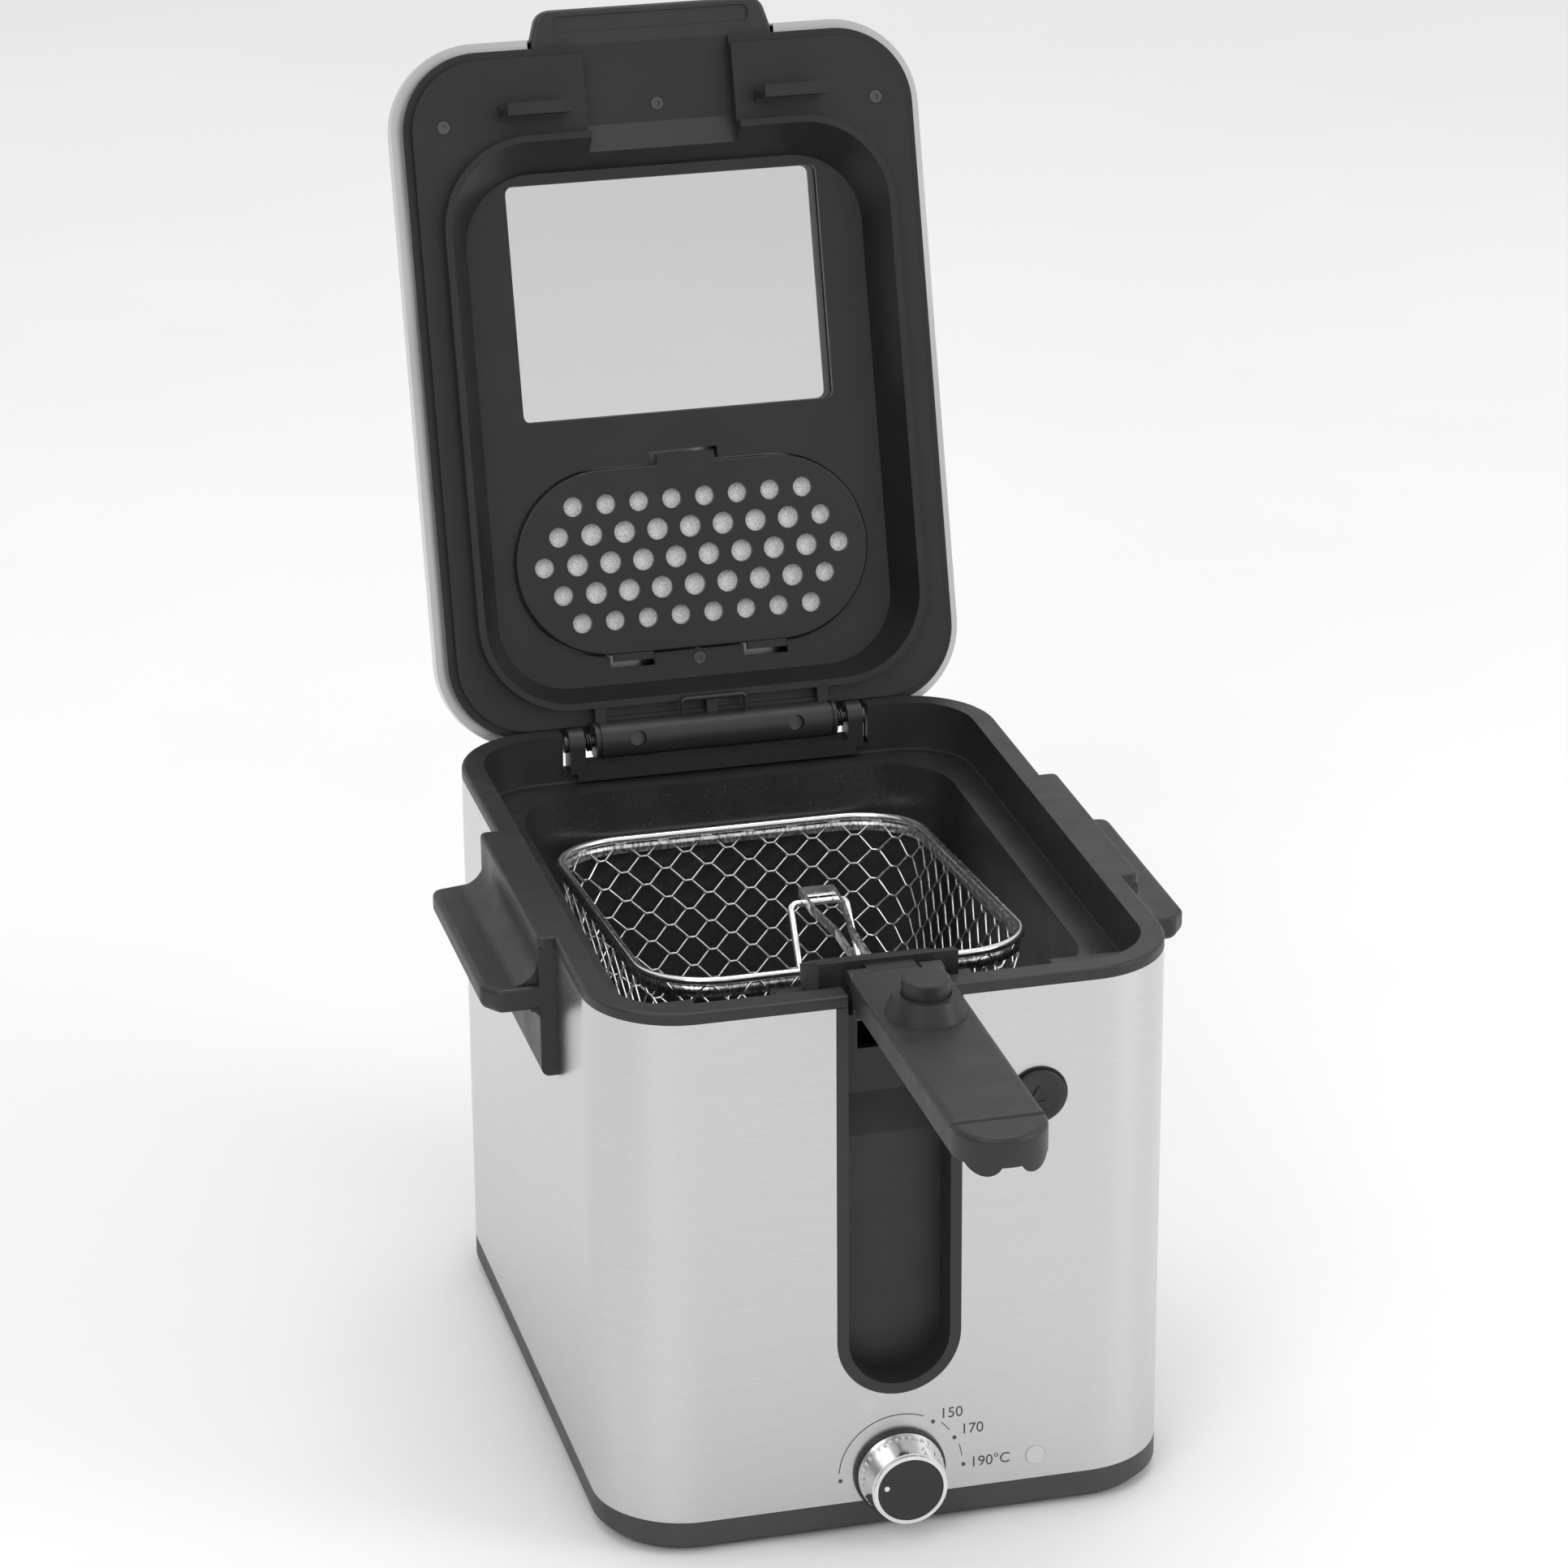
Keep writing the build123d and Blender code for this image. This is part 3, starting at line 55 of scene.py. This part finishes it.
# ---------------------------------------------------------------- materials
class Mat:
    """A Principled material with helpers for procedural detail, in object space (metres)."""

    def __init__(self, name, color, rough, metallic=0.0, **sockets):
        self.m = bpy.data.materials.new(name)
        self.m.use_nodes = True
        self.t = self.m.node_tree
        self.p = self.t.nodes["Principled BSDF"]
        self.p.inputs["Base Color"].default_value = (*color, 1)
        self.p.inputs["Roughness"].default_value = rough
        self.p.inputs["Metallic"].default_value = metallic
        for key, value in sockets.items():
            self.p.inputs[key.replace("_", " ")].default_value = value
        self.color = color
        self.co = self.t.nodes.new("ShaderNodeTexCoord").outputs["Object"]
        self.height = None

    def noise(self, scale, stretch=(1, 1, 1), detail=3.0, rough=0.55):
        mp = self.t.nodes.new("ShaderNodeMapping")
        mp.inputs["Scale"].default_value = stretch
        self.t.links.new(self.co, mp.inputs["Vector"])
        n = self.t.nodes.new("ShaderNodeTexNoise")
        n.inputs["Scale"].default_value = scale
        n.inputs["Detail"].default_value = detail
        n.inputs["Roughness"].default_value = rough
        self.t.links.new(mp.outputs["Vector"], n.inputs["Vector"])
        return n.outputs["Fac"]

    def span(self, fac, lo, hi, a=0.3, b=0.7):
        r = self.t.nodes.new("ShaderNodeMapRange")
        r.inputs["From Min"].default_value = a
        r.inputs["From Max"].default_value = b
        r.inputs["To Min"].default_value = lo
        r.inputs["To Max"].default_value = hi
        self.t.links.new(fac, r.inputs["Value"])
        return r.outputs["Result"]

    def tint(self, fac, other, a=0.35, b=0.65):
        """Base colour goes from the material's own to other as fac rises."""
        mix = self.t.nodes.new("ShaderNodeMix")
        mix.data_type = "RGBA"
        prev = self.p.inputs["Base Color"]
        if prev.is_linked:
            self.t.links.new(prev.links[0].from_socket, mix.inputs["A"])
        else:
            mix.inputs["A"].default_value = (*self.color, 1)
        mix.inputs["B"].default_value = (*other, 1)
        self.t.links.new(self.span(fac, 0, 1, a, b), mix.inputs["Factor"])
        self.t.links.new(mix.outputs["Result"], prev)
        return self

    def gloss(self, fac, lo, hi, a=0.3, b=0.7):
        self.t.links.new(self.span(fac, lo, hi, a, b), self.p.inputs["Roughness"])
        return self

    def bump(self, fac, depth, strength=1.0):
        b = self.t.nodes.new("ShaderNodeBump")
        b.inputs["Distance"].default_value = depth
        b.inputs["Strength"].default_value = strength
        self.t.links.new(fac, b.inputs["Height"])
        if self.height is not None:
            self.t.links.new(self.height, b.inputs["Normal"])
        self.height = b.outputs["Normal"]
        self.t.links.new(self.height, self.p.inputs["Normal"])
        return self


def plastic(name, level, rough, grain=2600, depth=2e-5, spec=0.4):
    m = Mat(name, (level, level, level * 1.03), rough, Specular_IOR_Level=spec)
    fine = m.noise(grain, detail=2)
    m.bump(fine, depth)
    m.gloss(m.noise(90, detail=4), rough - 0.05, rough + 0.06)
    m.tint(m.noise(35, detail=3), (level * 0.86, level * 0.86, level * 0.9))
    return m.m


def brushed(name, level):
    m = Mat(name, (level, level, level), 0.3, 1.0, Anisotropic=0.75, Anisotropic_Rotation=0.25)
    around_z = m.t.nodes.new("ShaderNodeTangent")
    around_z.direction_type = "RADIAL"
    around_z.axis = "Z"
    m.t.links.new(around_z.outputs["Tangent"], m.p.inputs["Tangent"])
    hair = m.noise(1.0, (14, 14, 5200), detail=3, rough=0.7)
    broad = m.noise(1.0, (5, 5, 900), detail=2)
    m.tint(hair, (level * 0.95, level * 0.95, level * 0.955), 0.25, 0.75)
    m.tint(broad, (level * 0.985, level * 0.985, level * 0.985), 0.35, 0.7)
    m.gloss(hair, 0.26, 0.33)
    m.bump(hair, 2e-6)
    return m.m


def chrome(name, level, rough):
    m = Mat(name, (level, level, level), rough, 1.0)
    m.gloss(m.noise(400, detail=3), rough * 0.7, rough * 1.5)
    m.tint(m.noise(160, detail=2), (level * 0.9, level * 0.9, level * 0.91))
    m.bump(m.noise(900, detail=2), 4e-6)
    return m.m


def dull_metal(name, color, rough):
    m = Mat(name, color, rough, 1.0)
    m.gloss(m.noise(300, detail=4), rough - 0.08, rough + 0.1)
    m.tint(m.noise(120, detail=3), tuple(c * 0.8 for c in color))
    m.bump(m.noise(1500, detail=2), 1e-5)
    return m.m


black = plastic("black_plastic", 0.024, 0.44)
lid_black = plastic("lid_plastic", 0.016, 0.34)
base_black = plastic("base_plastic", 0.048, 0.5)
rubber = plastic("foot_rubber", 0.05, 0.8, 1200, 4e-5, 0.2)
seal = plastic("seal_rubber", 0.06, 0.7, 1200, 3e-5, 0.3)
fitting = plastic("fitting_plastic", 0.25, 0.5)
steel = brushed("steel_shell", 0.62)
wire = chrome("wire_chrome", 0.95, 0.2)
knob = chrome("knob_chrome", 0.9, 0.1)
zinc = dull_metal("zinc_screw", (0.11, 0.11, 0.115), 0.45)
heater = dull_metal("heater_metal", (0.30, 0.28, 0.26), 0.5)
shield = dull_metal("shield_metal", (0.62, 0.62, 0.62), 0.45)

pot = Mat("pot_coating", (0.012, 0.012, 0.013), 0.34, Specular_IOR_Level=0.7, Coat_Weight=0.4,
          Coat_Roughness=0.25)
speck = pot.noise(1900, detail=1)
pot.tint(speck, (0.12, 0.12, 0.12), 0.68, 0.74)
pot.bump(pot.noise(2200, detail=2), 3e-5)
pot.gloss(pot.noise(60, detail=4), 0.34, 0.46)
pot = pot.m

fleece = Mat("fleece", (0.92, 0.92, 0.92), 0.95, Sheen_Weight=0.3)
fleece.tint(fleece.noise(2600, detail=3), (0.45, 0.45, 0.45), 0.42, 0.66)
fleece.bump(fleece.noise(1800, detail=4), 2.5e-4)
fleece = fleece.m

pane = Mat("pane", (0.66, 0.66, 0.66), 0.03, Transmission_Weight=1.0, IOR=1.45)
pane.gloss(pane.noise(30, detail=3), 0.01, 0.05)
pane = pane.m

white = Mat("white_mark", (0.72, 0.72, 0.72), 0.4)
white.gloss(white.noise(800), 0.35, 0.5)
white = white.m
lens = Mat("lens", (0.72, 0.72, 0.70), 0.3, Transmission_Weight=0.25, IOR=1.45)
lens.bump(lens.noise(900), 2e-5)
lens = lens.m
lamp = Mat("lamp", (0.6, 0.2, 0.1), 0.3)
lamp.gloss(lamp.noise(500), 0.25, 0.4)
lamp = lamp.m
ink = Mat("ink", (0.055, 0.055, 0.057), 0.5)
ink.gloss(ink.noise(900), 0.42, 0.58)
ink = ink.m

# the record's material slots
LOOK = {"steel_shell": steel, "black_plastic": black, "lid_plastic": lid_black,
        "base_plastic": base_black, "foot_rubber": rubber, "pot_coating": pot,
        "seal_rubber": seal, "zinc_screw": zinc, "heater_metal": heater,
        "shield_metal": shield, "knob_chrome": knob, "wire_chrome": wire,
        "white_mark": white, "lens": lens, "lamp": lamp, "pane": pane,
        "fleece": fleece, "fitting_plastic": fitting}
for sub in frame["record"]["subparts"]:
    o = nodes[sub["node"]]
    o.data.materials.clear()
    o.data.materials.append(LOOK[sub["material_slot"]])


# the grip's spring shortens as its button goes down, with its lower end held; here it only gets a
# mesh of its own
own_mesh(nodes["button_spring"])


# ---------------------------------------------------------------- mesh helpers, metres
def mesh_object(name, verts, faces, material, body, smooth=True):
    me = bpy.data.meshes.new(name)
    me.from_pydata([tuple(v) for v in verts], [], faces)
    me.validate()
    o = bpy.data.objects.new(name, me)
    scene.collection.objects.link(o)
    me.materials.append(material)
    if smooth:
        for p in me.polygons:
            p.use_smooth = True
    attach(o, body)
    return o


def tube_mesh(lines, radius, sides=6, closed=False):
    """Vertices and faces of round tubes along the given lines of points, ends capped."""
    verts, faces = [], []
    for pts in lines:
        pts = [Vector(p) for p in pts]
        n = len(pts)
        base = len(verts)
        up = None
        for i, p in enumerate(pts):
            a = pts[(i - 1) % n] if closed or i > 0 else p
            b = pts[(i + 1) % n] if closed or i < n - 1 else p
            d = (b - a).normalized()
            if up is None:
                up = d.orthogonal().normalized()
            else:
                up = (up - d * up.dot(d)).normalized()
            side = d.cross(up)
            for k in range(sides):
                ang = 2 * math.pi * k / sides
                verts.append(p + (up * math.cos(ang) + side * math.sin(ang)) * radius)
        rings = n if closed else n - 1
        for i in range(rings):
            j = (i + 1) % n
            for k in range(sides):
                k2 = (k + 1) % sides
                faces.append((base + i * sides + k, base + i * sides + k2,
                              base + j * sides + k2, base + j * sides + k))
        if not closed:
            faces.append(tuple(base + k for k in reversed(range(sides))))
            faces.append(tuple(base + (n - 1) * sides + k for k in range(sides)))
    return verts, faces


# ---------------------------------------------------------------- woven basket
MM = 0.001
lo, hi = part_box("basket_mesh")
b_cy = (lo.y + hi.y) / 2 * 1000
FLOOR_Z = lo.z * 1000
FLOOR_W, FLOOR_D, FLOOR_R = 124.0, 154.0, 22.0     # basket floor: width, depth, corners
TOP_W, TOP_D, TOP_R = 137.0, 172.0, 27.0           # the same at the rim
SLOPE = 0.1026             # fall of the rim towards the back
TOP_Z = 171.6              # rim height at the basket's middle
SKIN = 0.6                 # half the thickness of the CAD wall
TURN = 0.10                # share of the height over which the wall turns into the floor
TUCK = 5.0                 # how far the turn reaches inwards


def around(w, d, r, t):
    """Point at share t round a rounded rectangle, starting at the middle of the front."""
    sx, sy = w / 2 - r, d / 2 - r
    q = math.pi / 2 * r
    parts = [sx, q, 2 * sy, q, 2 * sx, q, 2 * sy, q, sx]
    s = (t % 1.0) * sum(parts)
    corner = [(sx, -sy), (sx, sy), (-sx, sy), (-sx, -sy)]
    line0 = [(0, -d / 2), (w / 2, -sy), (sx, d / 2), (-w / 2, sy), (-sx, -d / 2)]
    dirs = [(1, 0), (0, 1), (-1, 0), (0, -1), (1, 0)]
    for k, length in enumerate(parts):
        if s <= length or k == len(parts) - 1:
            if k % 2 == 0:
                x0, y0 = line0[k // 2]
                dx, dy = dirs[k // 2]
                return x0 + dx * s, y0 + dy * s
            cx, cy = corner[k // 2]
            ang = -math.pi / 2 + k // 2 * math.pi / 2 + s / r
            return cx + r * math.cos(ang), cy + r * math.sin(ang)
        s -= length


def wall(t, v):
    """Point on the basket wall: t round it, v from 0 at the floor to 1 at the rim."""
    x0, y0 = around(FLOOR_W - 2 * SKIN, FLOOR_D - 2 * SKIN, FLOOR_R - SKIN, t)
    x1, y1 = around(TOP_W - 2 * SKIN, TOP_D - 2 * SKIN, TOP_R - SKIN, t)
    ztop = TOP_Z - SLOPE * y1
    curve = min(1.0, v / TURN)
    tuck = (1 - math.sqrt(max(0.0, 1 - (1 - curve) ** 2))) * TUCK if curve < 1 else 0.0
    x = x0 + (x1 - x0) * v
    y = y0 + (y1 - y0) * v
    length = math.hypot(x, y)
    x -= x / length * tuck
    y -= y / length * tuck
    z = FLOOR_Z + SKIN + (ztop - FLOOR_Z - SKIN) * v
    return Vector((x * MM, (y + b_cy) * MM, z * MM))


COLS = 70                  # twists round the basket
ROWS = 12                  # rows of twists up the wall
NODE = 0.17                # half a twist's length, as a share of a column
WIRE = 0.48 * MM           # wire radius
WALL_LIFT = 0.25 * MM      # over and under at a twist
FLOOR_LIFT = 0.3 * MM
EDGE_IN = 5.0              # the floor's weave ends this far inside the outline
lines = []
for j in range(ROWS):
    pts = []
    for i in range(COLS):
        v = (j + (i + j) % 2) / ROWS
        for off in (-NODE, NODE):
            lift = WALL_LIFT if (i + j) % 2 else -WALL_LIFT
            p = wall((i + off) / COLS, min(1.0, v))
            c = Vector((0, b_cy * MM, p.z))
            pts.append(p + (p - c).normalized() * lift)
    lines.append(pts)
wv, wf = tube_mesh(lines, WIRE, 5, closed=True)
# floor: the same weave, cut to the floor's outline
fl = []
fx, fy = FLOOR_W / 2 - EDGE_IN, FLOOR_D / 2 - EDGE_IN
PX, PY = 8.2, 7.2          # pitch of the floor's weave


def inside(x, y):
    r = FLOOR_R - 4
    ax, ay = max(abs(x) - (fx - r), 0), max(abs(y) - (fy - r), 0)
    return math.hypot(ax, ay) <= r


ny = int(fy / PY) + 2
nx = int(fx / PX) + 2
for j in range(-ny, ny):
    run = []
    for i in range(-nx, nx + 1):
        v = j + (i + j) % 2
        for off in (-NODE, NODE):
            x, y = (i + off) * PX, v * PY
            if inside(x, y):
                lift = FLOOR_LIFT if (i + j) % 2 else 0.0
                run.append((x * MM, (y + b_cy) * MM, (FLOOR_Z + SKIN) * MM + lift))
            elif len(run) > 1:
                fl.append(run)
                run = []
            else:
                run = []
    if len(run) > 1:
        fl.append(run)
fv, ff = tube_mesh(fl, WIRE, 5)
shift = len(wv)
wv += fv
wf += [tuple(k + shift for k in f) for f in ff]
weave = mesh_object("basket_weave", wv, wf, wire, "basket")
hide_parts("basket_mesh")
# folded strip of mesh under the rim wire
HEM_STEPS = 160
HEM_LOW, HEM_HIGH = 0.945, 0.995       # shares of the wall's height
HEM_HALF = 0.4 * MM
verts, faces = [], []
for k in range(HEM_STEPS):
    for v in (HEM_LOW, HEM_HIGH):
        p = wall(k / HEM_STEPS, v)
        c = Vector((0, b_cy * MM, p.z))
        n = (p - c).normalized()
        verts.append(p - n * HEM_HALF)
        verts.append(p + n * HEM_HALF)
for k in range(HEM_STEPS):
    a, b = 4 * k, 4 * ((k + 1) % HEM_STEPS)
    faces += [(a, b, b + 2, a + 2), (a + 1, a + 3, b + 3, b + 1),
              (a, a + 1, b + 1, b), (a + 2, b + 2, b + 3, a + 3)]
hem = Mat("hem_mesh", (0.78, 0.78, 0.79), 0.3, 1.0)
hem.tint(hem.noise(1.0, (900, 900, 500), detail=2), (0.3, 0.3, 0.3), 0.45, 0.6)
hem.bump(hem.noise(1.0, (1200, 1200, 900), detail=2), 1.5e-4)
mesh_object("basket_hem", verts, faces, hem.m, "basket")


# ---------------------------------------------------------------- dial print
def flat_on_front(name, polys, thick=0.00008):
    """Thin printed shapes just proud of the front face; polys are lists of (x, z) in mm."""
    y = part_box("outer_shell")[0].y
    verts, faces = [], []
    for poly in polys:
        b = len(verts)
        n = len(poly)
        for x, z in poly:
            verts.append((x * MM, y + 0.00002, z * MM))
        for x, z in poly:
            verts.append((x * MM, y - thick, z * MM))
        faces.append(tuple(b + k for k in range(n)))
        faces.append(tuple(b + n + k for k in reversed(range(n))))
        for k in range(n):
            k2 = (k + 1) % n
            faces.append((b + k, b + n + k, b + n + k2, b + k2))
    o = mesh_object(name, verts, faces, ink, "housing", smooth=False)
    bm = bmesh.new()
    bm.from_mesh(o.data)
    bmesh.ops.recalc_face_normals(bm, faces=bm.faces)
    bm.to_mesh(o.data)
    bm.free()
    return o


KZ = 22.6                  # height of the dial's axis
FIGURE_H = 4.0             # height of the figures
CURVE_SIZE = 1.38          # font size for a capital of height 1
polys = []


def dot(x, z, r=0.75):
    steps = [a * math.pi / 8 for a in range(16)]
    polys.append([(x + r * math.cos(t), z + r * math.sin(t)) for t in steps])


def arc(r, a0, a1, w=0.32):
    steps = max(3, int(abs(a1 - a0) / 4))
    for k in range(steps):
        t0, t1 = (math.radians(a0 + (a1 - a0) * (k + e) / steps) for e in (0, 1))
        polys.append([(r0 * math.cos(t), KZ + r0 * math.sin(t)) for r0, t in
                      ((r - w / 2, t0), (r + w / 2, t0), (r + w / 2, t1), (r - w / 2, t1))])


# off, then 150, 170 and 190 degrees
dot(-20.7, 21.1)
dot(11.9, 39.4)
dot(19.5, 32.2)
dot(22.7, 21.4)
arc(21.2, 176, 66)
arc(21.8, 47, 36)
arc(22.2, 18, 6)
flat_on_front("dial_marks", polys)


def label(text, x, z, height=FIGURE_H):
    """Printed figures, their lower left corner at x, z on the front face."""
    cu = bpy.data.curves.new("label", "FONT")
    cu.body = text
    cu.size = height * MM * CURVE_SIZE
    cu.extrude = 0.00005
    tmp = bpy.data.objects.new("label_tmp", cu)
    scene.collection.objects.link(tmp)
    dg = bpy.context.evaluated_depsgraph_get()
    me = bpy.data.meshes.new_from_object(tmp.evaluated_get(dg))
    bpy.data.objects.remove(tmp)
    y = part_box("outer_shell")[0].y
    m = Matrix.Translation((x * MM, y - 0.00004, z * MM)) @ Matrix.Rotation(math.pi / 2, 4, "X")
    me.transform(m)
    o = bpy.data.objects.new("dial_" + text[:3], me)
    scene.collection.objects.link(o)
    me.materials.clear()
    me.materials.append(ink)
    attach(o, "housing")
    return o


label("150", 14.2, 40.2)
label("170", 21.6, 33.2)
label("190°C", 25.0, 20.0)

# ---------------------------------------------------------------- floor, light, camera
FLOOR = 6.0                # half the floor's width
floor_me = bpy.data.meshes.new("floor")
floor_me.from_pydata([(-FLOOR, -FLOOR, 0), (FLOOR, -FLOOR, 0), (FLOOR, FLOOR, 0), (-FLOOR, FLOOR, 0)],
                     [], [(0, 1, 2, 3)])
floor = bpy.data.objects.new("floor", floor_me)
scene.collection.objects.link(floor)
pale = Mat("pale_floor", (0.86, 0.86, 0.86), 0.9)
pale.tint(pale.noise(3), (0.84, 0.84, 0.84))
floor_me.materials.append(pale.m)

world = bpy.data.worlds.new("world")
scene.world = world
world.use_nodes = True
bg = world.node_tree.nodes["Background"]
bg.inputs["Color"].default_value = (1, 1, 1, 1)
SKY, SHADE = 0.8, 0.12     # strength of the world, and of its dark panel
# a soft dark panel low on the left, so that the brushed steel shows a vertical shade at its corner
wt = world.node_tree
toward = wt.nodes.new("ShaderNodeVectorMath")
toward.operation = "DOT_PRODUCT"
toward.inputs[1].default_value = (-0.95, -0.31, 0.0)
shade = wt.nodes.new("ShaderNodeMapRange")
shade.interpolation_type = "SMOOTHSTEP"
shade.inputs["From Min"].default_value = 0.72
shade.inputs["From Max"].default_value = 0.98
shade.inputs["To Min"].default_value = SKY
shade.inputs["To Max"].default_value = SHADE
wt.links.new(wt.nodes.new("ShaderNodeTexCoord").outputs["Generated"], toward.inputs[0])
wt.links.new(toward.outputs["Value"], shade.inputs["Value"])
wt.links.new(shade.outputs["Result"], bg.inputs["Strength"])
scene.view_settings.view_transform = "Standard"


def area(name, loc, target, size, power):
    """A rectangular lamp at loc that faces target; size in metres, power in watts."""
    li = bpy.data.lights.new(name, "AREA")
    li.shape = "RECTANGLE"
    li.size, li.size_y = size
    li.energy = power
    o = bpy.data.objects.new(name, li)
    scene.collection.objects.link(o)
    o.location = loc
    o.rotation_mode = "QUATERNION"
    o.rotation_quaternion = (Vector(target) - Vector(loc)).to_track_quat("-Z", "Y")
    return o


area("key", (-1.6, -1.8, 2.0), (0, 0, 0.15), (1.2, 1.6), 20)
area("fill", (1.9, -1.2, 1.2), (0, 0, 0.15), (0.8, 1.6), 14)
area("top", (0.1, 0.4, 2.4), (0, 0, 0.1), (1.4, 1.4), 16)

cam_data = bpy.data.cameras.new("camera")
cam = bpy.data.objects.new("camera", cam_data)
scene.collection.objects.link(cam)
CAM_AZ, CAM_EL, CAM_ROLL = -14.3621, 22.0083, -0.4011     # degrees
CAM_AT = (-0.4369, -1.6849, 0.9270)
CAM_LENS, CAM_SENSOR = 123.9366, 36.0
az, el, roll = (math.radians(a) for a in (CAM_AZ, CAM_EL, CAM_ROLL))
back = Vector((math.sin(az) * math.cos(el), -math.cos(az) * math.cos(el), math.sin(el)))
right = (-back).cross(Vector((0, 0, 1))).normalized()
up = right.cross(-back)
r2 = right * math.cos(roll) + up * math.sin(roll)
u2 = up * math.cos(roll) - right * math.sin(roll)
cam.rotation_mode = "QUATERNION"
cam.rotation_quaternion = Matrix((r2, u2, back)).transposed().to_quaternion()
cam.location = CAM_AT
cam_data.sensor_width = CAM_SENSOR
cam_data.lens = CAM_LENS
scene.camera = cam
